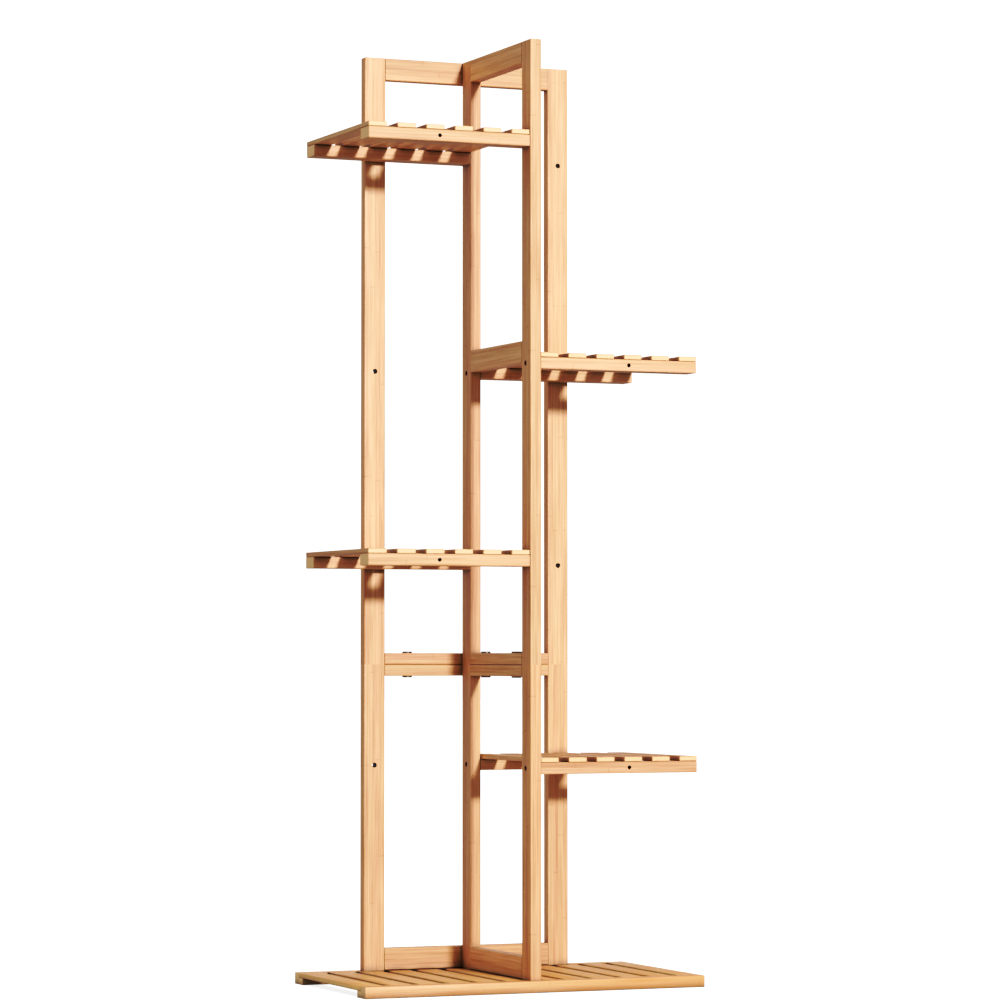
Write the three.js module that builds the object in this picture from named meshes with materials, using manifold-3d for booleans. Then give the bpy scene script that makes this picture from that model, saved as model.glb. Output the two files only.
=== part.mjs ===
// Tiered plant stand of bamboo bars.
// A slatted base carries an upright frame that runs front to back down the middle, and a second
// frame that stands across the back. Both frames are made in a lower and an upper half, bolted
// together through doubled rails. Four slatted shelves hang off the middle frame, two on each side
// at staggered heights, and the back frame steadies them.
// Millimetres, +Z up, +Y towards the back; the origin is on the floor at the middle of the base.
import * as THREE from 'three';
import { mergeVertices } from 'three/addons/utils/BufferGeometryUtils.js';
import Module from 'manifold-3d';

// Bamboo bar that the posts and rails are cut from
const barWidth = 28;
const barThickness = 14.5;
const barEdgeRadius = 1.4;
const endEasing = 0.7;

// Frames
const frameDepth = 220;
const lowerFrameHeight = 385;
const upperFrameHeight = 770;
const backPostSpacing = 253;

// Mortise and tenon joints between rails and posts
const tenonLength = 10;
const tenonThickness = 6;
const tenonShoulder = 4.5;
const jointClearance = 0.3;

// Heights of the shelves' slat tops: below the top of the frame, below the middle of the cross rail,
// and above the foot of the upper and of the lower half of the frame
const topLeftShelfDrop = 112.5;
const upperRightShelfDrop = 1;
const lowerLeftShelfRise = 140.5;
const lowerRightShelfRise = 271.5;

// Parts of one shelf
const shelfLength = 212;
const shelfSetback = 2;
const shelfSlatCount = 6;
const shelfSlatWidth = 24;
const slatThickness = 6;
const slatEdgeRadius = 1;

// Base
const baseOverhang = 6;
const baseLip = 15;
const baseSlatCount = 12;
const baseSlatWidth = 28;
const glueLap = 0.2;

// Holes for the screws that hold the shelves, the two frames and the base
const screwHoleDiameter = 6.5;
const screwShankHole = 4.2;
const screwHeadDepth = 7;
const crossHoleDiameter = 5;
const crossHoleDepth = 20;
const pilotDiameter = 3;
const endPilotDepth = 26;
const edgePilotDepth = 12;
const countersinkDiameter = 8;
const countersinkDepth = 2.5;

// Connector bolts and sleeve nuts that hold the upper frames on the lower ones
const boltInset = 33;
const boltHeadDiameter = 12.5;
const boltHeadHeight = 2;
const boltHeadEasing = 0.5;
const boltShankDiameter = 5.6;
const boltShankLength = 24;
const sleeveDiameter = 8;
const sleeveLength = 25;
const sleeveFloor = 1;
const hexKeySize = 4;
const hexKeyDepth = 1.2;

// Steps round an eased edge, sides of round holes and heads, and how far a cutter starts outside
// the face it enters
const edgeSegments = 2;
const roundSegments = 16;
const headSegments = 20;
const cutterLead = 1;

// Places that follow from the sizes above
const halfThickness = barThickness / 2;
const baseWidth = barThickness + 2 * (shelfLength + baseOverhang);
const baseDepth = frameDepth + barThickness + 2 * baseOverhang;
const baseFrontY = -baseDepth / 2;
const frameFrontY = baseFrontY + baseOverhang;
const frameBackY = frameFrontY + frameDepth;
const backFrameY = frameBackY + halfThickness;
const seamHeight = barThickness + lowerFrameHeight;
const frontShelfRailY = frameFrontY + shelfSetback + barWidth / 2;
const backShelfRailY = frameBackY - barWidth / 2;
const shelfDepth = frameDepth - shelfSetback;
const shelfRailDrop = slatThickness + halfThickness;
const backPostX = backPostSpacing / 2;
const backPostInnerX = backPostX - barWidth / 2;

const bamboo = new THREE.MeshStandardMaterial({ color: '#dba871', roughness: 0.5, metalness: 0 });
const paleBamboo = new THREE.MeshStandardMaterial({ color: '#e3b783', roughness: 0.5, metalness: 0 });
const honeyBamboo = new THREE.MeshStandardMaterial({ color: '#d79c5a', roughness: 0.45, metalness: 0 });
const blackSteel = new THREE.MeshStandardMaterial({ color: '#1b1b1d', roughness: 0.35, metalness: 0.9 });

const xAxis = new THREE.Vector3(1, 0, 0);
const yAxis = new THREE.Vector3(0, 1, 0);
const zAxis = new THREE.Vector3(0, 0, 1);
const upright = new THREE.Matrix4();
const lengthAlongX = new THREE.Matrix4().makeBasis(yAxis, zAxis, xAxis);
const lengthAlongY = new THREE.Matrix4().makeBasis(zAxis, xAxis, yAxis);

const wasm = await Module();
wasm.setup();

function solidFrom(geometry) {
  geometry.deleteAttribute('normal');
  geometry.deleteAttribute('uv');
  const merged = mergeVertices(geometry);
  const mesh = new wasm.Mesh({
    numProp: 3,
    vertProperties: Float32Array.from(merged.attributes.position.array),
    triVerts: Uint32Array.from(merged.index.array),
  });
  return new wasm.Manifold(mesh);
}

function geometryFrom(solid) {
  const { vertProperties, triVerts } = solid.getMesh();
  const geometry = new THREE.BufferGeometry();
  geometry.setAttribute('position', new THREE.BufferAttribute(Float32Array.from(vertProperties), 3));
  geometry.setIndex(new THREE.BufferAttribute(Uint32Array.from(triVerts), 1));
  const faceted = geometry.toNonIndexed();
  faceted.computeVertexNormals();
  return faceted;
}

function place(name, geometry, material, x, y, z, turn = 0) {
  const mesh = new THREE.Mesh(geometry, material);
  mesh.name = name;
  mesh.position.set(x, y, z);
  mesh.rotation.z = turn;
  return mesh;
}

// Rectangle centred on the origin with quarter-round corners
function easedRectangle(width, height, radius) {
  const x = width / 2 - radius;
  const y = height / 2 - radius;
  const outline = new THREE.Shape();
  outline.absarc(x, y, radius, 0, Math.PI / 2);
  outline.absarc(-x, y, radius, Math.PI / 2, Math.PI);
  outline.absarc(-x, -y, radius, Math.PI, 1.5 * Math.PI);
  outline.absarc(x, -y, radius, 1.5 * Math.PI, 2 * Math.PI);
  outline.closePath();
  return outline;
}

// Straight bar from 0 to its length, with eased long edges. Ends that show are eased as well,
// ends that butt against another piece are cut square.
function bar(width, height, length, radius, direction, easedStart, easedEnd) {
  const startSpare = easedStart ? 0 : endEasing;
  const endSpare = easedEnd ? 0 : endEasing;
  const geometry = new THREE.ExtrudeGeometry(easedRectangle(width, height, radius), {
    depth: length + startSpare + endSpare - 2 * endEasing,
    curveSegments: edgeSegments,
    bevelThickness: endEasing,
    bevelSize: endEasing,
    bevelOffset: -endEasing,
    bevelSegments: 1,
  });
  geometry.translate(0, 0, endEasing - startSpare);
  const sawn = solidFrom(geometry.applyMatrix4(direction));
  const stock = new THREE.BoxGeometry(2 * width, 2 * height, length);
  stock.translate(0, 0, length / 2);
  return sawn.intersect(solidFrom(stock.applyMatrix4(direction)));
}

function block(width, depth, height, x, y, z) {
  const geometry = new THREE.BoxGeometry(width, depth, height);
  geometry.translate(x, y, z);
  return solidFrom(geometry);
}

// Round cutter that starts at a point and runs along an axis
function drill(diameter, length, start, axis) {
  const geometry = new THREE.CylinderGeometry(diameter / 2, diameter / 2, length, roundSegments);
  geometry.translate(0, length / 2, 0);
  geometry.applyQuaternion(new THREE.Quaternion().setFromUnitVectors(yAxis, axis));
  geometry.translate(start.x, start.y, start.z);
  return solidFrom(geometry);
}

// Cone that lets a flat screw head in: widest at its start
function countersink(start, axis) {
  const geometry = new THREE.CylinderGeometry(
    screwShankHole / 2, countersinkDiameter / 2, countersinkDepth, roundSegments);
  geometry.translate(0, countersinkDepth / 2, 0);
  geometry.applyQuaternion(new THREE.Quaternion().setFromUnitVectors(yAxis, axis));
  geometry.translate(start.x, start.y, start.z);
  return solidFrom(geometry);
}

// Post: the bar stands up on the axis, its width along X. The mortises are in its inner edge, the
// pilot holes of edgePilots in its outer edge, and the other screws cross its thickness, along Y.
function post(height, options) {
  const { easedTop, rails, holeInset, plainHoles, steppedHoles, edgePilots, endPilot } = options;
  const outerEdge = -barWidth / 2;
  const innerEdge = barWidth / 2;
  let solid = bar(barWidth, barThickness, height, barEdgeRadius, upright, false, easedTop);
  for (const rail of rails) {
    const depth = tenonLength + 2 * jointClearance;
    const tall = rail.height - 2 * tenonShoulder + 2 * jointClearance;
    const wide = tenonThickness + 2 * jointClearance;
    const mortise = block(2 * depth, wide, tall, innerEdge, 0, rail.middle);
    solid = solid.subtract(mortise);
  }
  for (const z of plainHoles) {
    const start = new THREE.Vector3(outerEdge + holeInset, -barThickness, z);
    solid = solid.subtract(drill(screwHoleDiameter, 2 * barThickness, start, yAxis));
  }
  for (const { z, headSide } of steppedHoles) {
    const start = new THREE.Vector3(outerEdge + holeInset, -barThickness, z);
    solid = solid.subtract(drill(screwShankHole, 2 * barThickness, start, yAxis));
    const headStart = new THREE.Vector3(outerEdge + holeInset, headSide * halfThickness, z);
    const inward = yAxis.clone().multiplyScalar(-headSide);
    headStart.addScaledVector(inward, -cutterLead);
    solid = solid.subtract(drill(screwHoleDiameter, screwHeadDepth + cutterLead, headStart, inward));
  }
  for (const z of edgePilots) {
    const start = new THREE.Vector3(outerEdge - cutterLead, 0, z);
    solid = solid.subtract(drill(pilotDiameter, edgePilotDepth + cutterLead, start, xAxis));
  }
  if (endPilot) {
    const start = new THREE.Vector3(0, 0, -cutterLead);
    solid = solid.subtract(drill(pilotDiameter, endPilotDepth + cutterLead, start, zAxis));
  }
  return geometryFrom(solid);
}

// Rail with a stub tenon at each end: length along X from shoulder to shoulder, centred on Y and Z
function tenonedRail(length, height) {
  const rail = bar(barThickness, height, length, barEdgeRadius, lengthAlongX, false, false);
  const tall = height - 2 * tenonShoulder;
  const tenons = block(length + 2 * tenonLength, tenonThickness, tall, length / 2, 0, 0);
  return rail.add(tenons);
}

// Vertical holes for the connector bolts, the same distance from both posts
function drillForBolts(rail, length, height) {
  const diameter = sleeveDiameter + 2 * jointClearance;
  let solid = rail;
  for (const x of [boltInset, length - boltInset]) {
    const start = new THREE.Vector3(x, 0, -height);
    solid = solid.subtract(drill(diameter, 2 * height, start, zAxis));
  }
  return solid;
}

// Screw hole through the middle of a back rail, countersunk in its back face
function drillForRearPost(rail, length) {
  const start = new THREE.Vector3(length / 2, -barThickness, 0);
  const shank = drill(screwShankHole, 2 * barThickness, start, yAxis);
  const sink = countersink(new THREE.Vector3(length / 2, halfThickness, 0), yAxis.clone().negate());
  return rail.subtract(shank).subtract(sink);
}

// Heights of the rails, shelves and screws on each half of the frames, from that half's foot
const bottomRail = { height: barWidth, middle: barWidth / 2 };
const lowerJointRail = { height: barThickness, middle: lowerFrameHeight - halfThickness };
const upperJointRail = { height: barThickness, middle: halfThickness };
const crossRail = { height: barWidth, middle: upperFrameHeight / 2 };
const topRail = { height: barWidth, middle: upperFrameHeight - barWidth / 2 };
const topLeftShelfRise = upperFrameHeight - topLeftShelfDrop;
const upperRightShelfRise = crossRail.middle - upperRightShelfDrop;
const lowerRightScrew = lowerRightShelfRise - shelfRailDrop;
const lowerLeftScrew = lowerLeftShelfRise - shelfRailDrop;
const upperRightScrew = upperRightShelfRise - shelfRailDrop;
const topLeftScrew = topLeftShelfRise - shelfRailDrop;

// Posts of the middle frame. The screws of a right shelf go in from the left face and those of a
// left shelf from the right face, so heads and shelves take turns down the post.
function middlePost(name, isUpper, isRear) {
  const turn = isRear ? -Math.PI / 2 : Math.PI / 2;
  const leftFace = isRear ? -1 : 1;
  const holes = isUpper
    ? [{ z: lowerLeftScrew, headSide: -leftFace },
      { z: upperRightScrew, headSide: leftFace },
      { z: topLeftScrew, headSide: -leftFace }]
    : [{ z: lowerRightScrew, headSide: leftFace }];
  const rails = isUpper ? [upperJointRail, crossRail, topRail] : [bottomRail, lowerJointRail];
  const backRails = isUpper ? [upperJointRail, topRail] : [bottomRail, lowerJointRail];
  const outerEdgeY = isRear ? frameBackY : frameFrontY;
  const railY = isRear ? backShelfRailY : frontShelfRailY;
  const geometry = post(isUpper ? upperFrameHeight : lowerFrameHeight, {
    easedTop: isUpper,
    rails,
    holeInset: Math.abs(railY - outerEdgeY),
    plainHoles: [],
    steppedHoles: holes,
    edgePilots: isRear ? backRails.map((rail) => rail.middle) : [],
    endPilot: !isUpper && !isRear,
  });
  const y = isRear ? frameBackY - barWidth / 2 : frameFrontY + barWidth / 2;
  return place(name, geometry, bamboo, 0, y, isUpper ? seamHeight : barThickness, turn);
}

// Posts of the back frame: each is drilled at the height of every shelf on its half, so either
// side can carry a shelf, and the holes of the other side's shelves stay open.
function backPost(name, isUpper, side) {
  const rails = isUpper ? [upperJointRail, topRail] : [bottomRail, lowerJointRail];
  const geometry = post(isUpper ? upperFrameHeight : lowerFrameHeight, {
    easedTop: isUpper,
    rails,
    holeInset: barWidth / 2,
    plainHoles: isUpper ? [lowerLeftScrew, upperRightScrew, topLeftScrew] : [lowerRightScrew],
    steppedHoles: [],
    edgePilots: [],
    endPilot: !isUpper,
  });
  const foot = isUpper ? seamHeight : barThickness;
  return place(name, geometry, bamboo, side * backPostX, backFrameY, foot, side > 0 ? Math.PI : 0);
}

// Rails of the middle frame, front to back between its two posts
function middleRail(name, rail, foot) {
  const length = frameDepth - 2 * barWidth;
  let solid = tenonedRail(length, rail.height);
  if (rail.height < barWidth) {
    solid = drillForBolts(solid, length, rail.height);
  }
  const geometry = geometryFrom(solid);
  return place(name, geometry, bamboo, 0, frameFrontY + barWidth, foot + rail.middle, Math.PI / 2);
}

// Rails of the back frame, left to right between its two posts
function backRail(name, rail, foot) {
  const length = 2 * backPostInnerX;
  let solid = drillForRearPost(tenonedRail(length, rail.height), length);
  if (rail.height < barWidth) {
    solid = drillForBolts(solid, length, rail.height);
  }
  const geometry = geometryFrom(solid);
  return place(name, geometry, bamboo, -backPostInnerX, backFrameY, foot + rail.middle);
}

// Shelf rail: from its inner end at the post, with a pilot hole up the grain for the post's screw.
// A blind hole in one face is in line with the back post, whose screw goes into it on a back rail.
function shelfRailGeometry() {
  const rail = bar(barWidth, barThickness, shelfLength, barEdgeRadius, lengthAlongX, false, true);
  const railEnd = new THREE.Vector3(-cutterLead, 0, 0);
  const endPilot = drill(pilotDiameter, endPilotDepth + cutterLead, railEnd, xAxis);
  const faceY = -barWidth / 2 - cutterLead;
  const atBackPost = new THREE.Vector3(backPostX - halfThickness, faceY, 0);
  const crossHole = drill(crossHoleDiameter, crossHoleDepth + cutterLead, atBackPost, yAxis);
  return geometryFrom(rail.subtract(endPilot).subtract(crossHole));
}

function slat(width, length, easedEnds) {
  return bar(slatThickness, width, length, slatEdgeRadius, lengthAlongY, easedEnds, easedEnds);
}

const shelfRail = shelfRailGeometry();
const shelfSlat = geometryFrom(slat(shelfSlatWidth, shelfDepth, true));
const shelfSlatPitch = (shelfLength - shelfSlatWidth) / (shelfSlatCount - 1);

// A shelf rail turned to its side, and rolled over where its cross hole would face into the shelf
function placedShelfRail(name, side, y, z, isBack) {
  const turn = side > 0 ? 0 : Math.PI;
  const rail = place(name, shelfRail, bamboo, side * halfThickness, y, z, turn);
  const holeFacesIn = isBack ? side > 0 : side < 0;
  rail.rotation.x = holeFacesIn ? Math.PI : 0;
  return rail;
}

// One shelf: two rails butted against the middle frame, with the slats lying across them
function shelf(name, side, foot, rise) {
  const group = new THREE.Group();
  const railZ = foot + rise - shelfRailDrop;
  group.add(placedShelfRail(`${name}_front_rail`, side, frontShelfRailY, railZ, false));
  group.add(placedShelfRail(`${name}_back_rail`, side, backShelfRailY, railZ, true));
  for (let i = 0; i < shelfSlatCount; i += 1) {
    const x = side * (halfThickness + shelfSlatWidth / 2 + i * shelfSlatPitch);
    const y = frameFrontY + shelfSetback;
    const z = foot + rise - slatThickness / 2;
    group.add(place(`${name}_slat_${i + 1}`, shelfSlat, paleBamboo, x, y, z));
  }
  return group;
}

// Base rail with a rabbet along its inner top edge that the slat ends lie in
function baseRail(inward) {
  const rail = bar(barWidth, barThickness, baseWidth, barEdgeRadius, lengthAlongX, true, true);
  const ledge = barWidth - baseLip;
  const depth = slatThickness - glueLap;
  const rabbet = block(2 * baseWidth, 2 * ledge, 2 * depth, 0, inward * barWidth / 2, halfThickness);
  return rail.subtract(rabbet);
}

function moved(geometry, x, y, z) {
  return geometry.clone().translate(x, y, z);
}

// Base: two rabbeted rails on the floor with the slats glued into them, flush with the rail tops,
// and countersunk holes for the screws that go up into the frames
function basePanel() {
  const railZ = halfThickness;
  const frontRail = moved(geometryFrom(baseRail(1)), -baseWidth / 2, baseFrontY + barWidth / 2, railZ);
  const backRail = moved(geometryFrom(baseRail(-1)), -baseWidth / 2, -baseFrontY - barWidth / 2, railZ);
  let panel = solidFrom(frontRail).add(solidFrom(backRail));
  const slatLength = baseDepth - 2 * baseLip + 2 * glueLap;
  const slatGeometry = geometryFrom(slat(baseSlatWidth, slatLength, false));
  const pitch = (baseWidth - baseSlatWidth) / (baseSlatCount - 1);
  for (let i = 0; i < baseSlatCount; i += 1) {
    const x = -baseWidth / 2 + baseSlatWidth / 2 + i * pitch;
    const z = barThickness - slatThickness / 2;
    panel = panel.add(solidFrom(moved(slatGeometry, x, -slatLength / 2, z)));
  }
  const feet = [
    new THREE.Vector3(0, frameFrontY + barWidth / 2, 0),
    new THREE.Vector3(-backPostX, backFrameY, 0),
    new THREE.Vector3(backPostX, backFrameY, 0),
  ];
  for (const foot of feet) {
    const start = foot.clone().setZ(-cutterLead);
    panel = panel.subtract(drill(screwShankHole, barThickness + 2 * cutterLead, start, zAxis));
    panel = panel.subtract(countersink(foot, zAxis));
  }
  return place('base_panel', geometryFrom(panel), honeyBamboo, 0, 0, 0);
}

// Flat round head on the positive side of z = 0, its outer edge eased, with its socket cut in
function headProfile() {
  const rim = boltHeadDiameter / 2;
  return [
    new THREE.Vector2(0, boltHeadHeight),
    new THREE.Vector2(rim - boltHeadEasing, boltHeadHeight),
    new THREE.Vector2(rim, boltHeadHeight - boltHeadEasing),
    new THREE.Vector2(rim, 0),
  ];
}

function turned(profile) {
  const points = [...profile].reverse();
  const geometry = new THREE.LatheGeometry(points, headSegments);
  geometry.rotateX(Math.PI / 2);
  return solidFrom(geometry);
}

function hexSocket() {
  const across = hexKeySize / Math.cos(Math.PI / 6) / 2;
  const geometry = new THREE.CylinderGeometry(across, across, 2 * hexKeyDepth, 6);
  geometry.rotateX(Math.PI / 2);
  geometry.translate(0, 0, boltHeadHeight);
  return solidFrom(geometry);
}

// Connector bolt: head on top of the doubled rails, shank down into the sleeve nut
function connectorBolt() {
  const shank = boltShankDiameter / 2;
  const profile = [
    ...headProfile(),
    new THREE.Vector2(shank, 0),
    new THREE.Vector2(shank, -boltShankLength),
    new THREE.Vector2(0, -boltShankLength),
  ];
  return geometryFrom(turned(profile).subtract(hexSocket()));
}

// Sleeve nut, drawn head up: a head like the bolt's with a hollow sleeve under it
function sleeveNut() {
  const outer = sleeveDiameter / 2;
  const bore = boltShankDiameter / 2 + jointClearance;
  const profile = [
    ...headProfile(),
    new THREE.Vector2(outer, 0),
    new THREE.Vector2(outer, -sleeveLength),
    new THREE.Vector2(bore, -sleeveLength),
    new THREE.Vector2(bore, -sleeveFloor),
    new THREE.Vector2(0, -sleeveFloor),
  ];
  return geometryFrom(turned(profile).subtract(hexSocket()));
}

function connectors() {
  const group = new THREE.Group();
  const bolt = connectorBolt();
  const nut = sleeveNut();
  const middleRailFrontY = frameFrontY + barWidth;
  const middleRailBackY = frameBackY - barWidth;
  const places = [
    ['front', 0, middleRailFrontY + boltInset],
    ['rear', 0, middleRailBackY - boltInset],
    ['left', -backPostInnerX + boltInset, backFrameY],
    ['right', backPostInnerX - boltInset, backFrameY],
  ];
  for (const [where, x, y] of places) {
    group.add(place(`joint_bolt_${where}`, bolt, blackSteel, x, y, seamHeight + barThickness));
    const sleeve = place(`joint_nut_${where}`, nut, blackSteel, x, y, seamHeight - barThickness);
    sleeve.rotation.x = Math.PI;
    group.add(sleeve);
  }
  return group;
}

function lowerFrames() {
  const group = new THREE.Group();
  group.add(middlePost('front_post_lower', false, false));
  group.add(middlePost('rear_post_lower', false, true));
  group.add(backPost('left_back_post_lower', false, -1));
  group.add(backPost('right_back_post_lower', false, 1));
  group.add(middleRail('middle_bottom_rail', bottomRail, barThickness));
  group.add(middleRail('middle_joint_rail_lower', lowerJointRail, barThickness));
  group.add(backRail('back_bottom_rail', bottomRail, barThickness));
  group.add(backRail('back_joint_rail_lower', lowerJointRail, barThickness));
  return group;
}

function upperFrames() {
  const group = new THREE.Group();
  group.add(middlePost('front_post_upper', true, false));
  group.add(middlePost('rear_post_upper', true, true));
  group.add(backPost('left_back_post_upper', true, -1));
  group.add(backPost('right_back_post_upper', true, 1));
  group.add(middleRail('middle_joint_rail_upper', upperJointRail, seamHeight));
  group.add(middleRail('middle_cross_rail', crossRail, seamHeight));
  group.add(middleRail('middle_top_rail', topRail, seamHeight));
  group.add(backRail('back_joint_rail_upper', upperJointRail, seamHeight));
  group.add(backRail('back_top_rail', topRail, seamHeight));
  return group;
}

const plantStand = new THREE.Group();
plantStand.add(basePanel());
plantStand.add(lowerFrames());
plantStand.add(upperFrames());
plantStand.add(shelf('top_left_shelf', -1, seamHeight, topLeftShelfRise));
plantStand.add(shelf('upper_right_shelf', 1, seamHeight, upperRightShelfRise));
plantStand.add(shelf('lower_left_shelf', -1, seamHeight, lowerLeftShelfRise));
plantStand.add(shelf('lower_right_shelf', 1, barThickness, lowerRightShelfRise));
plantStand.add(connectors());

export default plantStand;
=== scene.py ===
import math
import bpy
from mathutils import Matrix, Vector


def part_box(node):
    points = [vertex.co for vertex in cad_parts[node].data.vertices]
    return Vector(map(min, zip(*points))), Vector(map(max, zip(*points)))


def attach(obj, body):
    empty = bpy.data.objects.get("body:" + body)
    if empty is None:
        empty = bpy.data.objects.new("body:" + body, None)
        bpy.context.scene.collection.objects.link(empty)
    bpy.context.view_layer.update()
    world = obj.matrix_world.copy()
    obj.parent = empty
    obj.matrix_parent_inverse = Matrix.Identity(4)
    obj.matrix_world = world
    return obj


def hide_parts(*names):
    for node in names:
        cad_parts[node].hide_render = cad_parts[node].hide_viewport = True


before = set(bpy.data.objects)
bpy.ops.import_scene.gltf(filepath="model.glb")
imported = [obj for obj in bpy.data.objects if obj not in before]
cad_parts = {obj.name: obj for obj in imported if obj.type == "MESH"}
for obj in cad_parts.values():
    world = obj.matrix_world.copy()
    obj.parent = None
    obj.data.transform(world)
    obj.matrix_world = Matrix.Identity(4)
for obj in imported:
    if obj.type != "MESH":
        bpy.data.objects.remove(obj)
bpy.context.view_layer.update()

bpy.ops.object.select_all(action="DESELECT")

# ---------------------------------------------------------------------------------------------
# Base rails. Two flat bars of laminated bamboo lie on the floor along the front and the back. The
# inner top edge of each is rabbeted to a ledge, and the slat ends are glued down on that ledge.
# Their long outer edges are rounded over and their sawn ends only lightly eased.
# ---------------------------------------------------------------------------------------------
mm = 0.001
base_low, base_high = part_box("base_panel")
bar_width = 28 * mm
slat_thickness = 6 * mm
base_lip = 15 * mm
long_edge_radius = 0.9 * mm
end_edge_radius = 0.4 * mm
bar_thickness = base_high.z - base_low.z
ledge_height = bar_thickness - slat_thickness
screw_hole = 4.2 * mm
countersink_width = 8 * mm
countersink_depth = 2.5 * mm
circle_sides = 32
# The smallest distance that counts, and the cosine from which a direction counts as the same
hair = 0.01 * mm
aligned = 0.99


def sawn_block(name, low, high):
    """A sharp-edged block between two corners, its object at the origin."""
    bpy.ops.object.select_all(action="DESELECT")
    low, high = Vector(low), Vector(high)
    bpy.ops.mesh.primitive_cube_add(size=1, location=(low + high) / 2, scale=high - low)
    bpy.ops.object.transform_apply(location=True, rotation=True, scale=True)
    block = bpy.context.active_object
    block.name = block.data.name = name
    return block


def choose(piece, kind, test):
    """In edit mode, selects only the vertices, edges or faces that pass the test."""
    bpy.context.view_layer.objects.active = piece
    bpy.ops.object.mode_set(mode="EDIT")
    bpy.ops.mesh.select_mode(type=kind)
    bpy.ops.mesh.select_all(action="DESELECT")
    bpy.ops.object.mode_set(mode="OBJECT")
    mesh = piece.data
    for part in {"VERT": mesh.vertices, "EDGE": mesh.edges, "FACE": mesh.polygons}[kind]:
        part.select = test(part)
    bpy.ops.object.mode_set(mode="EDIT")


def edge_ends(piece, edge):
    return [piece.data.vertices[i].co for i in edge.vertices]


def round_long_edges(piece, axis, radius, stays_sharp=None):
    """Rounds the edges that run along an axis, apart from those that are to stay sharp."""
    def is_long(edge):
        a, b = edge_ends(piece, edge)
        straight = (b - a).normalized()
        return abs(straight[axis]) > aligned and not (stays_sharp and stays_sharp(a))
    choose(piece, "EDGE", is_long)
    bpy.ops.mesh.bevel(offset=radius, segments=3, affect="EDGES", clamp_overlap=True)
    bpy.ops.object.mode_set(mode="OBJECT")


def ease_ends(piece, axis, radius):
    """Takes the arris off the rim of both sawn ends."""
    places = [v.co[axis] for v in piece.data.vertices]
    ends = (min(places), max(places))
    def on_rim(edge):
        a, b = edge_ends(piece, edge)
        return any(abs(a[axis] - end) < hair and abs(b[axis] - end) < hair for end in ends)
    choose(piece, "EDGE", on_rim)
    bpy.ops.mesh.bevel(offset=radius, segments=2, affect="EDGES", clamp_overlap=True)
    bpy.ops.object.mode_set(mode="OBJECT")


def cut_away(piece, cutter):
    """Takes the shape of a cutter out of a piece, and then the cutter away."""
    cut = piece.modifiers.new("cut", "BOOLEAN")
    cut.object = cutter
    cut.solver = "EXACT"
    bpy.context.view_layer.objects.active = piece
    bpy.ops.object.modifier_apply(modifier=cut.name)
    bpy.data.objects.remove(cutter)


def drill_countersunk(piece, x, y):
    """Cuts a screw hole up through a base rail, with its countersink in the underside."""
    bpy.ops.object.select_all(action="DESELECT")
    bpy.ops.mesh.primitive_cylinder_add(
        vertices=circle_sides, radius=screw_hole / 2, depth=3 * bar_thickness,
        location=(x, y, bar_thickness / 2))
    drill = bpy.context.active_object
    # The countersink's cutter goes on past both of its ends, at the same slope.
    slope = (countersink_width - screw_hole) / 2 / countersink_depth
    spare = 1 * mm
    bpy.ops.mesh.primitive_cone_add(
        vertices=circle_sides, radius1=countersink_width / 2 + slope * spare,
        radius2=screw_hole / 2 - slope * spare, depth=countersink_depth + 2 * spare,
        location=(x, y, countersink_depth / 2))
    countersink = bpy.context.active_object
    cut_away(piece, drill)
    cut_away(piece, countersink)


def smooth_rounds(piece):
    """Shades the rounded edges smooth and leaves the flat faces flat."""
    sharpest_round = math.radians(35)
    bpy.ops.object.select_all(action="DESELECT")
    piece.select_set(True)
    bpy.context.view_layer.objects.active = piece
    bpy.ops.object.shade_smooth_by_angle(angle=sharpest_round)


def base_rail(name, outer_y, inward):
    """One rabbeted rail: a block up to the ledge, with the lip drawn up along its outer edge."""
    inner_y = outer_y + inward * bar_width
    lip_y = outer_y + inward * base_lip
    rail = sawn_block(
        name,
        (base_low.x, min(outer_y, inner_y), base_low.z),
        (base_high.x, max(outer_y, inner_y), base_low.z + ledge_height))
    bpy.ops.object.mode_set(mode="EDIT")
    bpy.ops.mesh.select_all(action="SELECT")
    bpy.ops.mesh.bisect(plane_co=(0, lip_y, 0), plane_no=(0, 1, 0))
    bpy.ops.object.mode_set(mode="OBJECT")
    choose(rail, "FACE", lambda face: face.normal.z > aligned and (lip_y - face.center.y) * inward > 0)
    bpy.ops.mesh.extrude_region_move(TRANSFORM_OT_translate={"value": (0, 0, slat_thickness)})
    bpy.ops.object.mode_set(mode="OBJECT")
    round_long_edges(rail, 0, long_edge_radius, lambda place: abs(place.y - lip_y) < hair)
    ease_ends(rail, 0, end_edge_radius)
    return rail


def linear(hex_colour):
    """A colour written as sRGB hex, as the linear colour that a shader takes."""
    channels = [int(hex_colour[i:i + 2], 16) / 255 for i in (1, 3, 5)]
    return (*[c / 12.92 if c <= 0.04045 else ((c + 0.055) / 1.055) ** 2.4 for c in channels], 1)


def add_node(tree, kind, sockets=None, **settings):
    """Adds a node, sets its properties, and sets or links its sockets."""
    made = tree.nodes.new(kind)
    for name, value in settings.items():
        setattr(made, name, value)
    for socket, value in (sockets or {}).items():
        if isinstance(value, bpy.types.NodeSocket):
            tree.links.new(value, made.inputs[socket])
        else:
            made.inputs[socket].default_value = value
    return made


# Turns that lay a piece's grain along Z, by the axis that the grain runs along
grain_turns = {
    "x": Matrix(((0, 1, 0), (0, 0, 1), (1, 0, 0))),
    "y": Matrix(((0, 0, 1), (1, 0, 0), (0, 1, 0))),
    "z": Matrix.Identity(3),
}


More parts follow.
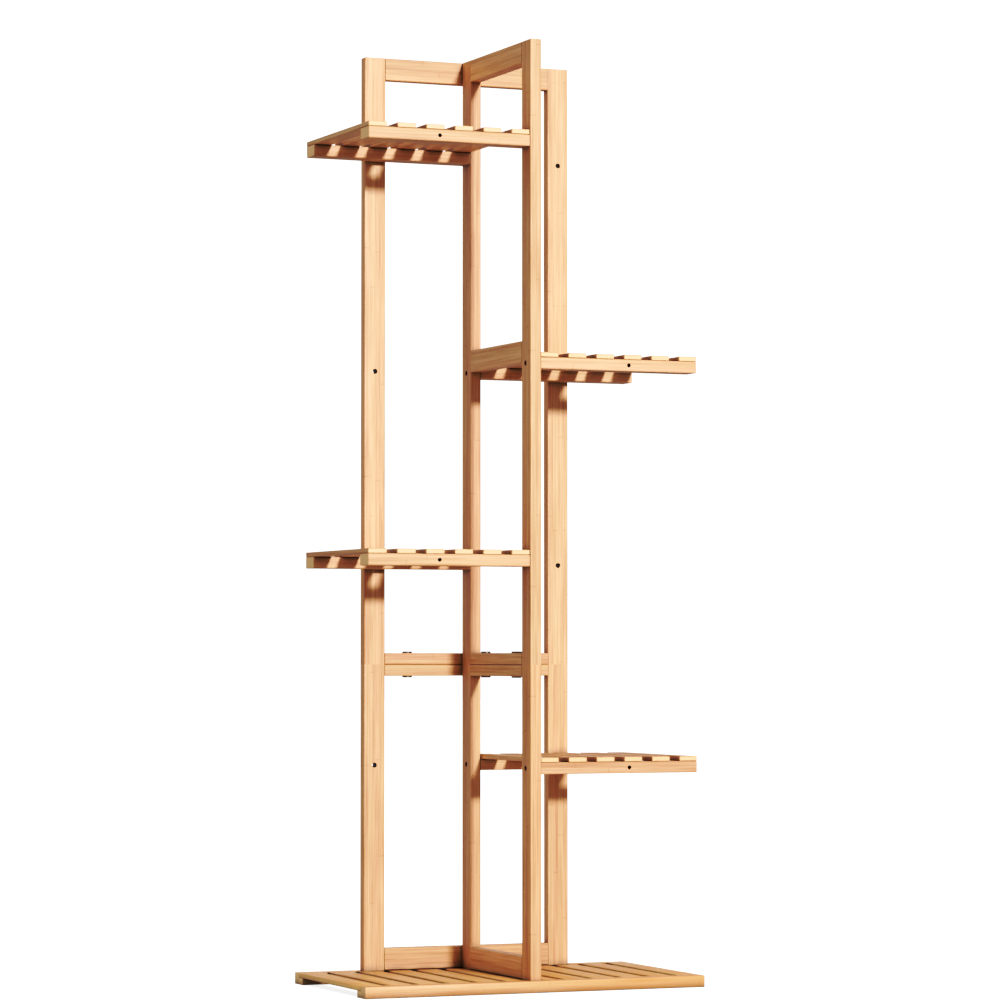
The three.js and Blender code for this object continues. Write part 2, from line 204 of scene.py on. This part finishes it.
def lacquered_bamboo(name, low, high, along, light="#f0b384", dark="#bd7b48", shelter=0.3, seed=0):
    """Laminated bamboo under a thin satin lacquer. To the eye it is strips about 7 mm wide that
    differ a little in tone and hue, each with fine straight fibres along it and a faint darker
    line across it where the culm had a joint. Sawn ends show the cut fibres as dots and are
    painted paler for the light they catch. Painted shade darkens narrow gaps, inner corners and
    holes. The second-last argument is how open a place still is where the painted shade is full,
    from 0, shut in, to 1, in the open."""
    turn = grain_turns[along]
    size = turn @ (high - low)
    size = Vector(abs(s) for s in size)
    material = bpy.data.materials.new(name)
    material.use_nodes = True
    tree = material.node_tree
    shader = tree.nodes["Principled BSDF"]
    coordinates = add_node(tree, "ShaderNodeTexCoord")
    place = add_node(tree, "ShaderNodeMapping", {
        "Vector": coordinates.outputs["Object"],
        "Rotation": turn.to_euler(),
        "Location": -(turn @ low),
    })
    facing = add_node(tree, "ShaderNodeMapping", {
        "Vector": coordinates.outputs["Normal"],
        "Rotation": turn.to_euler(),
    }, vector_type="VECTOR")

    # Whole strips fill the width and the thickness, and each draws its own chances by its number.
    strip = 7.2 * mm
    widths = [s / max(1, round(s / strip)) for s in (size.x, size.y)]
    past_any_length = 10
    seed_steps = (3.7, 1.3, 7.1)
    counted = add_node(tree, "ShaderNodeVectorMath", {
        0: place.outputs[0], 1: (*widths, past_any_length)}, operation="DIVIDE")
    numbered = add_node(tree, "ShaderNodeVectorMath", {0: counted.outputs[0]}, operation="FLOOR")
    seeded = add_node(tree, "ShaderNodeVectorMath", {
        0: numbered.outputs[0], 1: tuple(seed * step for step in seed_steps)}, operation="ADD")
    chance = add_node(tree, "ShaderNodeTexWhiteNoise", {"Vector": seeded.outputs[0]})
    hue_chance = add_node(tree, "ShaderNodeSeparateColor", {"Color": chance.outputs["Color"]})

    # Each strip comes from another culm, so its pattern starts at another place.
    farthest_start = 3.0
    shift = add_node(tree, "ShaderNodeVectorMath", {
        0: chance.outputs["Color"], "Scale": farthest_start}, operation="SCALE")
    shifted = add_node(tree, "ShaderNodeVectorMath", {
        0: place.outputs[0], 1: shift.outputs[0]}, operation="ADD")

    # Real fibres are about 0.3 mm thick. They are drawn coarser, because finer ones don't show.
    fibre = 0.8 * mm
    streak = 2.6 * mm
    length_to_width = 60
    patches_per_metre = 9
    drawn_out = add_node(tree, "ShaderNodeVectorMath", {
        0: shifted.outputs[0], 1: (1, 1, 1 / length_to_width)}, operation="MULTIPLY")
    fibres = add_node(tree, "ShaderNodeTexNoise", {
        "Vector": drawn_out.outputs[0], "Scale": 1 / fibre, "Detail": 3, "Roughness": 0.6})
    streaks = add_node(tree, "ShaderNodeTexNoise", {
        "Vector": drawn_out.outputs[0], "Scale": 1 / streak, "Detail": 2, "Roughness": 0.5})
    patches = add_node(tree, "ShaderNodeTexNoise", {
        "Vector": shifted.outputs[0], "Scale": patches_per_metre, "Detail": 2, "Roughness": 0.5})

    # Culm joints: a thin line across the strip, once in every joint spacing
    joint_spacing = 290 * mm
    joint_line = 1.3 * mm
    height = add_node(tree, "ShaderNodeSeparateXYZ", {0: shifted.outputs[0]})
    laps = add_node(tree, "ShaderNodeMath", {
        0: height.outputs["Z"], 1: joint_spacing}, operation="DIVIDE")
    lap = add_node(tree, "ShaderNodeMath", {0: laps.outputs[0]}, operation="FRACT")
    middle = add_node(tree, "ShaderNodeMath", {0: lap.outputs[0], 1: 0.5}, operation="SUBTRACT")
    away = add_node(tree, "ShaderNodeMath", {0: middle.outputs[0]}, operation="ABSOLUTE")
    joint = add_node(tree, "ShaderNodeMapRange", {
        "Value": away.outputs[0], "From Min": 0, "From Max": joint_line / joint_spacing,
        "To Min": 1, "To Max": 0}, interpolation_type="SMOOTHSTEP")

    # Tone from 0, dark, to 1, light: the strip's own, swung by each pattern, less the joint's line
    darkest_strip, lightest_strip = 0.38, 0.66
    noise_low, noise_high = 0.3, 0.7
    joint_depth = 0.28
    strip_tone = add_node(tree, "ShaderNodeMapRange", {
        "Value": chance.outputs["Value"], "To Min": darkest_strip, "To Max": lightest_strip})
    tone_so_far = strip_tone.outputs[0]
    for pattern, swing in ((fibres, 0.24), (streaks, 0.28), (patches, 0.16)):
        swung = add_node(tree, "ShaderNodeMapRange", {
            "Value": pattern.outputs["Fac"], "From Min": noise_low, "From Max": noise_high,
            "To Min": -swing, "To Max": swing})
        summed = add_node(tree, "ShaderNodeMath", {0: tone_so_far, 1: swung.outputs[0]}, operation="ADD")
        tone_so_far = summed.outputs[0]
    tone = add_node(tree, "ShaderNodeMath", {
        0: joint.outputs[0], 1: -joint_depth, 2: tone_so_far}, operation="MULTIPLY_ADD", use_clamp=True)
    wood = add_node(tree, "ShaderNodeMix", {
        "Factor": tone.outputs[0], "A": linear(dark), "B": linear(light)}, data_type="RGBA")

    # Strips lean a little towards pink or towards yellow.
    pinker, yellower = (1.02, 0.97, 0.98, 1), (0.98, 1.03, 0.95, 1)
    lean = add_node(tree, "ShaderNodeMix", {
        "Factor": hue_chance.outputs["Green"], "A": pinker, "B": yellower}, data_type="RGBA")
    tinted = add_node(tree, "ShaderNodeMix", {
        "Factor": 1.0, "A": wood.outputs["Result"], "B": lean.outputs["Result"]},
        data_type="RGBA", blend_type="MULTIPLY")

    # Sawn end: a paler gold than the sides, painted light for the light it catches, with dots of cut
    # fibres
    painted_light_gold, painted_light_share = "#fdc488", 0.85
    dot_spacing = 0.9 * mm
    dot_edge, wall_edge = 0.15, 0.45
    dot_shade, wall_shade = 0.9, 1.05
    end_cosine = 0.8
    painted_light_end = add_node(tree, "ShaderNodeMix", {
        "Factor": painted_light_share, "A": tinted.outputs["Result"], "B": linear(painted_light_gold)}, data_type="RGBA")
    dots = add_node(tree, "ShaderNodeTexVoronoi", {"Vector": place.outputs[0], "Scale": 1 / dot_spacing})
    ring = add_node(tree, "ShaderNodeMapRange", {
        "Value": dots.outputs["Distance"], "From Min": dot_edge, "From Max": wall_edge,
        "To Min": dot_shade, "To Max": wall_shade})
    end_wood = add_node(tree, "ShaderNodeVectorMath", {
        0: painted_light_end.outputs["Result"], "Scale": ring.outputs[0]}, operation="SCALE")
    facing_parts = add_node(tree, "ShaderNodeSeparateXYZ", {0: facing.outputs[0]})
    along_grain = add_node(tree, "ShaderNodeMath", {0: facing_parts.outputs["Z"]}, operation="ABSOLUTE")
    is_end = add_node(tree, "ShaderNodeMath", {
        0: along_grain.outputs[0], 1: end_cosine}, operation="GREATER_THAN")
    surface = add_node(tree, "ShaderNodeMix", {
        "Factor": is_end.outputs[0], "A": tinted.outputs["Result"], "B": end_wood.outputs[0]},
        data_type="RGBA")

    # Painted shade darkens the narrow gaps and inner corners, and painted shade turns drilled holes near
    # black.
    crevice_shade_colour, hole_shade_colour = "#4c3520", "#2b160a"
    reach = 16 * mm
    unshaded_openness = 0.8
    darkest_hole_openness, unshaded_hole_openness = 0.05, 0.25
    openness = add_node(tree, "ShaderNodeAmbientOcclusion", {"Distance": reach}, samples=6)
    unshaded = add_node(tree, "ShaderNodeMapRange", {
        "Value": openness.outputs["AO"], "From Min": shelter, "From Max": unshaded_openness,
        "To Min": 0, "To Max": 1})
    crevice_shaded = add_node(tree, "ShaderNodeMix", {
        "Factor": unshaded.outputs[0], "A": linear(crevice_shade_colour), "B": surface.outputs["Result"]}, data_type="RGBA")
    hole_unshaded = add_node(tree, "ShaderNodeMapRange", {
        "Value": openness.outputs["AO"], "From Min": darkest_hole_openness, "From Max": unshaded_hole_openness,
        "To Min": 0, "To Max": 1})
    shaded_surface = add_node(tree, "ShaderNodeMix", {
        "Factor": hole_unshaded.outputs[0], "A": linear(hole_shade_colour), "B": crevice_shaded.outputs["Result"]}, data_type="RGBA")
    tree.links.new(shaded_surface.outputs["Result"], shader.inputs["Base Color"])

    # Lacquer: satin, glossier on the raised fibres, which stand out only a little
    dullest, glossiest = 0.50, 0.40
    fibre_relief = 0.06 * mm
    rough = add_node(tree, "ShaderNodeMapRange", {
        "Value": fibres.outputs["Fac"], "From Min": noise_low, "From Max": noise_high,
        "To Min": dullest, "To Max": glossiest})
    tree.links.new(rough.outputs[0], shader.inputs["Roughness"])
    relief = add_node(tree, "ShaderNodeBump", {
        "Height": fibres.outputs["Fac"], "Strength": 0.25, "Distance": fibre_relief})
    tree.links.new(relief.outputs[0], shader.inputs["Normal"])
    shader.inputs["IOR"].default_value = 1.5
    return material


def finish_piece(piece, along, slot, **tones):
    """Gives a new piece its bamboo and its body. Its slot is not used."""
    corners = [v.co for v in piece.data.vertices]
    low = Vector(min(c[i] for c in corners) for i in range(3))
    high = Vector(max(c[i] for c in corners) for i in range(3))
    piece.data.materials.clear()
    piece.data.materials.append(
        lacquered_bamboo("lacquered_bamboo_" + piece.name, low, high, along, **tones))
    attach(piece, "root")


front_base_rail = base_rail("base_front_rail", base_low.y, 1)
back_base_rail = base_rail("base_back_rail", base_high.y, -1)
# The screws up through the base stand under the middles of the posts.
posts_on_base = {
    "front": "front_post_lower", "left": "left_back_post_lower", "right": "right_back_post_lower"}
foot_screws = {}
for side, post in posts_on_base.items():
    low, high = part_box(post)
    foot_screws[side] = ((low.x + high.x) / 2, (low.y + high.y) / 2)
for x, y in foot_screws.values():
    drill_countersunk(front_base_rail if y < 0 else back_base_rail, x, y)
# Every piece of bamboo has a seed of its own, so no two show the same strips.
base_rail_seed = 14
for i, rail in enumerate((front_base_rail, back_base_rail)):
    smooth_rounds(rail)
    finish_piece(rail, "x", "base_bamboo", light="#ffba80", dark="#e49252", seed=base_rail_seed + i)
    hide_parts("base_panel")

# ---------------------------------------------------------------------------------------------
# Base slats. Twelve thin bamboo strips lie side by side in the rabbets with equal gaps, their top
# faces flush with the lips. They are glued, so nothing holds them from above.
# ---------------------------------------------------------------------------------------------
base_slat_count = 12
base_slat_width = 28 * mm
slat_edge_radius = 0.5 * mm
slat_end_easing = 0.3 * mm
glue_line = 0.1 * mm
base_slat_pitch = (base_high.x - base_low.x - base_slat_width) / (base_slat_count - 1)
base_slat_seed = 20


def copy_piece(piece, name, move):
    """A copy with its own mesh, moved in its mesh."""
    copy = piece.copy()
    copy.data = piece.data.copy()
    copy.name = copy.data.name = name
    bpy.context.collection.objects.link(copy)
    copy.data.transform(Matrix.Translation(move))
    return copy


first_slat = sawn_block(
    "base_slat_1",
    (base_low.x, base_low.y + base_lip + glue_line, base_low.z + ledge_height),
    (base_low.x + base_slat_width, base_high.y - base_lip - glue_line, base_high.z))
round_long_edges(first_slat, 1, slat_edge_radius)
ease_ends(first_slat, 1, slat_end_easing)
smooth_rounds(first_slat)
base_slats = [first_slat]
for i in range(1, base_slat_count):
    base_slats.append(copy_piece(first_slat, f"base_slat_{i + 1}", (i * base_slat_pitch, 0, 0)))
# Painted shade reaches all the way up the narrow gaps between these slats.
for i, slat in enumerate(base_slats):
    finish_piece(
        slat, "y", "base_bamboo", light="#ffc27e", dark="#e8964c", shelter=0.68,
        seed=base_slat_seed + i)
    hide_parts("base_panel")

# ---------------------------------------------------------------------------------------------
# Frames. The posts and rails of the middle frame and of the back frame are the same flat bar of
# laminated bamboo, mortised together and lacquered after assembly.
# ---------------------------------------------------------------------------------------------
frame_bars = {
    "z": ["front_post_lower", "front_post_upper", "rear_post_lower", "rear_post_upper",
          "left_back_post_lower", "left_back_post_upper", "right_back_post_lower",
          "right_back_post_upper"],
    "y": ["middle_bottom_rail", "middle_joint_rail_lower", "middle_joint_rail_upper",
          "middle_cross_rail", "middle_top_rail"],
    "x": ["back_bottom_rail", "back_joint_rail_lower", "back_joint_rail_upper", "back_top_rail"],
}


def dress(node, material):
    """Puts a material on a solid of the frame."""
    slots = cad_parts[node].data.materials
    slots.clear()
    slots.append(material)


# The rear posts and the rails of the back frame get slightly darker tones, and the lower front
# post a warmer, darker one: painted shade for the shade that falls on them.
darker_painted_shade_tones = {"light": "#e6a978", "dark": "#b27142"}
painted_shade_tones = dict.fromkeys(["rear_post_lower", "rear_post_upper", *frame_bars["x"]], darker_painted_shade_tones)
painted_shade_tones["front_post_lower"] = {"light": "#f0ae7b", "dark": "#bd7740"}
seed = 40
for along, names in frame_bars.items():
    for name in names:
        dress(name, lacquered_bamboo(
            "lacquered_bamboo_" + name, *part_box(name), along, seed=seed, **painted_shade_tones.get(name, {})))
        seed += 1

# ---------------------------------------------------------------------------------------------
# Shelves. Each has a front and a back rail of the same bar, screwed end-on to the middle frame,
# with six thin strips pinned and glued across them.
# ---------------------------------------------------------------------------------------------
shelves = ["top_left_shelf", "upper_right_shelf", "lower_left_shelf", "lower_right_shelf"]
shelf_slat_count = 6
shelf_bars = [("front_rail", "x"), ("back_rail", "x")]
shelf_bars += [(f"slat_{i + 1}", "y") for i in range(shelf_slat_count)]
for shelf in shelves:
    for bar, along in shelf_bars:
        name = f"{shelf}_{bar}"
        dress(name, lacquered_bamboo("lacquered_bamboo_" + name, *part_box(name), along, seed=seed))
        seed += 1

# ---------------------------------------------------------------------------------------------
# Connector bolts and sleeve nuts through the doubled joint rails: turned steel, blackened in a
# hot oxide bath and oiled, so it is black with a soft, slightly uneven sheen.
# ---------------------------------------------------------------------------------------------
def black_oxide_steel(name):
    """Oil-blackened steel: a dark grey metal with a soft sheen and faint handling marks."""
    mark = 1.5 * mm
    oiled, rubbed = "#45413d", "#77716a"
    noise_low, noise_high = 0.3, 0.7
    glossiest, dullest = 0.14, 0.26
    material = bpy.data.materials.new(name)
    material.use_nodes = True
    tree = material.node_tree
    shader = tree.nodes["Principled BSDF"]
    coordinates = add_node(tree, "ShaderNodeTexCoord")
    marks = add_node(tree, "ShaderNodeTexNoise", {
        "Vector": coordinates.outputs["Object"], "Scale": 1 / mark, "Detail": 4, "Roughness": 0.6})
    blackened = add_node(tree, "ShaderNodeMix", {
        "Factor": marks.outputs["Fac"], "A": linear(oiled), "B": linear(rubbed)}, data_type="RGBA")
    tree.links.new(blackened.outputs["Result"], shader.inputs["Base Color"])
    rough = add_node(tree, "ShaderNodeMapRange", {
        "Value": marks.outputs["Fac"], "From Min": noise_low, "From Max": noise_high,
        "To Min": glossiest, "To Max": dullest})
    tree.links.new(rough.outputs[0], shader.inputs["Roughness"])
    shader.inputs["Metallic"].default_value = 0.9
    return material


blackened_steel = black_oxide_steel("black_oxide_steel")
for place in ("front", "rear", "left", "right"):
    dress("joint_bolt_" + place, blackened_steel)
    dress("joint_nut_" + place, blackened_steel)

# ---------------------------------------------------------------------------------------------
# Shelf screws. Black socket-head screws go through the posts of the middle frame into the end
# grain of the shelf rails, their heads sunk in stepped holes: in the left face of a post for a
# right shelf, and in the right face for a left shelf.
# ---------------------------------------------------------------------------------------------
key_size = 3 * mm
key_depth = 2 * mm
shelf_screw = {
    "head_width": 6 * mm, "head_height": 4 * mm, "seat_width": 6 * mm,
    "shank_width": 2.8 * mm, "length": 36 * mm}
head_sunk = 2.8 * mm


def socket_screw(name, head_width, head_height, seat_width, shank_width, length, at, into):
    """A screw with a hex socket: the top of its head is at a point, and it runs into the work.
    A seat narrower than the head makes it a countersunk one."""
    bpy.ops.object.select_all(action="DESELECT")
    bpy.ops.mesh.primitive_cone_add(
        vertices=circle_sides, radius1=seat_width / 2, radius2=head_width / 2, depth=head_height,
        location=(0, 0, -head_height / 2))
    screw = bpy.context.active_object
    bpy.ops.object.transform_apply(location=True, rotation=True, scale=True)
    screw.name = screw.data.name = name
    # The inset leaves the seat as a ring under the head, and its middle is drawn out as the shank.
    choose(screw, "FACE", lambda face: face.normal.z < -aligned)
    bpy.ops.mesh.inset(thickness=(seat_width - shank_width) / 2 + hair)
    bpy.ops.mesh.extrude_region_move(
        TRANSFORM_OT_translate={"value": (0, 0, head_height - length)})
    bpy.ops.object.mode_set(mode="OBJECT")
    bpy.ops.object.select_all(action="DESELECT")
    # A hexagon's corners lie this far out when its flats are the key's size apart.
    key_corner = key_size / math.sqrt(3)
    bpy.ops.mesh.primitive_cylinder_add(vertices=6, radius=key_corner, depth=2 * key_depth)
    cut_away(screw, bpy.context.active_object)
    turn = Vector((0, 0, -1)).rotation_difference(Vector(into)).to_matrix().to_4x4()
    screw.data.transform(Matrix.Translation(at) @ turn)
    smooth_rounds(screw)
    screw.data.materials.append(blackened_steel)
    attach(screw, "root")


for shelf in shelves:
    side = 1 if "right" in shelf else -1
    half = "lower" if shelf == "lower_right_shelf" else "upper"
    for rail, post in (("front_rail", f"front_post_{half}"), ("back_rail", f"rear_post_{half}")):
        rail_low, rail_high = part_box(f"{shelf}_{rail}")
        post_low, post_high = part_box(post)
        far_face = post_low.x if side > 0 else post_high.x
        centre = (rail_low + rail_high) / 2
        socket_screw(
            f"{shelf}_{rail}_screw", **shelf_screw,
            at=(far_face + side * head_sunk, centre.y, centre.z), into=(side, 0, 0))

# ---------------------------------------------------------------------------------------------
# Back post screws. One black screw with a flat round head goes from behind through each back post
# into the back rail of every shelf on its side. The other holes of the post stay empty.
# ---------------------------------------------------------------------------------------------
back_post_screw = {
    "head_width": 11 * mm, "head_height": 2.5 * mm, "seat_width": 11 * mm,
    "shank_width": 4.8 * mm, "length": 34 * mm}
for shelf in shelves:
    side = "right" if "right" in shelf else "left"
    half = "lower" if shelf == "lower_right_shelf" else "upper"
    post_low, post_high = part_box(f"{side}_back_post_{half}")
    rail_low, rail_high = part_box(shelf + "_back_rail")
    head_top = post_high.y + back_post_screw["head_height"]
    socket_screw(
        f"{shelf}_back_post_screw", **back_post_screw,
        at=((post_low.x + post_high.x) / 2, head_top, (rail_low.z + rail_high.z) / 2),
        into=(0, -1, 0))

# ---------------------------------------------------------------------------------------------
# Frame screws. Countersunk black screws: four hold the rails of the back frame to the rear posts
# from behind, and three come up through the base into the posts that stand on it.
# ---------------------------------------------------------------------------------------------
countersunk_head = {
    "head_width": 7.4 * mm, "head_height": 2.2 * mm, "seat_width": 3 * mm, "shank_width": 2.8 * mm}
back_rail_screw_length = 25 * mm
foot_screw_length = 38 * mm
below_face = 0.2 * mm
for rail in frame_bars["x"]:
    low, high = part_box(rail)
    socket_screw(
        rail + "_screw", **countersunk_head, length=back_rail_screw_length,
        at=((low.x + high.x) / 2, high.y - below_face, (low.z + high.z) / 2), into=(0, -1, 0))
for side, (x, y) in foot_screws.items():
    socket_screw(
        f"foot_screw_{side}", **countersunk_head, length=foot_screw_length,
        at=(x, y, below_face), into=(0, 0, 1))

# ---------------------------------------------------------------------------------------------
# Studio: a pale floor that runs on out of sight, one soft key light from the front and a little to
# the right, a room light all round, and a weaker light behind for the far side. The floor glows
# and has a light of its own, so it stays pale without lighting the stand from below.
# ---------------------------------------------------------------------------------------------
scene = bpy.context.scene
floor_size = 60
bpy.ops.object.select_all(action="DESELECT")
bpy.ops.mesh.primitive_plane_add(size=floor_size)
floor = bpy.context.active_object
floor.name = "studio_floor"
lit_acrylic = bpy.data.materials.new("white_acrylic_lit_from_below")
lit_acrylic.use_nodes = True
floor_shader = lit_acrylic.node_tree.nodes["Principled BSDF"]
floor_shader.inputs["Base Color"].default_value = linear("#ecebe8")
floor_shader.inputs["Roughness"].default_value = 0.9
floor_shader.inputs["Specular IOR Level"].default_value = 0.1
floor_shader.inputs["Emission Color"].default_value = (1, 1, 1, 1)
floor_shader.inputs["Emission Strength"].default_value = 0.72
floor.data.materials.append(lit_acrylic)
floor.visible_diffuse = False
floor.visible_glossy = False

# The room's light is slightly blue. It comes from all round, with more from above and the left.
backdrop_strength = 1.3
room_level = 0.18
from_above = 0.28
from_left = 0.145
room_tint = (0.95, 1.0, 1.04, 1)
world = bpy.data.worlds.new("studio")
scene.world = world
world.use_nodes = True
room = world.node_tree
backdrop = room.nodes["Background"]
backdrop.inputs["Color"].default_value = (1, 1, 1, 1)
backdrop.inputs["Strength"].default_value = backdrop_strength
sky = add_node(room, "ShaderNodeTexCoord")
way = add_node(room, "ShaderNodeSeparateXYZ", {0: sky.outputs["Generated"]})
upward = add_node(room, "ShaderNodeMath", {0: way.outputs["Z"], 1: 0.0}, operation="MAXIMUM")
leftward = add_node(room, "ShaderNodeMath", {0: way.outputs["X"], 1: 0.0}, operation="MINIMUM")
ceiling = add_node(room, "ShaderNodeMath", {
    0: upward.outputs[0], 1: from_above, 2: room_level}, operation="MULTIPLY_ADD")
strength = add_node(room, "ShaderNodeMath", {
    0: leftward.outputs[0], 1: -from_left, 2: ceiling.outputs[0]}, operation="MULTIPLY_ADD")
room_light = add_node(room, "ShaderNodeBackground", {
    "Color": room_tint, "Strength": strength.outputs[0]})
seen = add_node(room, "ShaderNodeLightPath")
either = add_node(room, "ShaderNodeMixShader", {
    "Fac": seen.outputs["Is Camera Ray"], 1: room_light.outputs[0], 2: backdrop.outputs[0]})
room.links.new(either.outputs[0], room.nodes["World Output"].inputs["Surface"])


def shine_on(light, piece, state):
    """Makes a light reach only that piece, or every piece but that one."""
    group = bpy.data.collections.new(light.name + "_receivers")
    group.objects.link(piece)
    group.collection_objects[0].light_linking.link_state = state
    light.light_linking.receiver_collection = group


def direction(azimuth, elevation):
    """The way to a light: azimuth 0 is straight in front, and it grows towards the right."""
    turn, rise = math.radians(azimuth), math.radians(elevation)
    return Vector((math.sin(turn) * math.cos(rise), -math.cos(turn) * math.cos(rise), math.sin(rise)))


def distant_light(name, azimuth, elevation, softness, strength):
    """A light so far off that its rays are parallel."""
    data = bpy.data.lights.new(name, "SUN")
    data.energy = strength
    data.angle = math.radians(softness)
    light = bpy.data.objects.new(name, data)
    scene.collection.objects.link(light)
    light.rotation_euler = direction(azimuth, elevation).to_track_quat("Z", "Y").to_euler()
    return light


def spotlight(name, azimuth, elevation, aim_height, distance, softness, cone, power):
    """A far spotlight with a soft rim: full at the height that it aims at, weaker below it."""
    data = bpy.data.lights.new(name, "SPOT")
    data.energy = power
    data.shadow_soft_size = distance * math.tan(math.radians(softness / 2))
    data.spot_size = math.radians(cone)
    data.spot_blend = 1
    light = bpy.data.objects.new(name, data)
    scene.collection.objects.link(light)
    away = direction(azimuth, elevation)
    light.location = Vector((0, 0, aim_height)) + distance * away
    light.rotation_euler = away.to_track_quat("Z", "Y").to_euler()
    return light


key_light = spotlight(
    "key_light", azimuth=4.1, elevation=9.8, aim_height=1.0, distance=30, softness=3.6, cone=8.0,
    power=36500)
rear_light = distant_light("rear_light", azimuth=155, elevation=12, softness=25, strength=1.8)
rear_light.visible_glossy = False
floor_light = distant_light("floor_light", azimuth=0, elevation=90, softness=80, strength=1.9)
shine_on(key_light, floor, "EXCLUDE")
shine_on(rear_light, floor, "EXCLUDE")
shine_on(floor_light, floor, "INCLUDE")

# ---------------------------------------------------------------------------------------------
# Camera: in front and to the left, a little below the middle of the stand, with a long lens and
# tilted slightly up. Its place and lens were fitted to the stand's edges in the photograph.
# ---------------------------------------------------------------------------------------------
camera_data = bpy.data.cameras.new("camera")
camera_data.lens = 140.986
camera_data.sensor_width = 36
camera = bpy.data.objects.new("camera", camera_data)
camera.location = (-1.91356, -4.51291, 0.40989)
camera_yaw = math.radians(22.9968)
camera_rise = math.radians(2.2847)
camera.rotation_euler = (math.pi / 2 + camera_rise, 0, -camera_yaw)
scene.collection.objects.link(camera)
scene.camera = camera

# The picture's contrast: deeper shades and gentler lights, white from 1.0 up
contrast_points = (
    (0.02, 0.015), (0.07, 0.066), (0.15, 0.214), (0.3, 0.435), (0.5, 0.679), (0.75, 0.858))
all_channels = 3
scene.view_settings.view_transform = "Standard"
scene.view_settings.use_curve_mapping = True
film = scene.view_settings.curve_mapping
film.extend = "HORIZONTAL"
for light_in, light_out in contrast_points:
    film.curves[all_channels].points.new(light_in, light_out)
film.update()
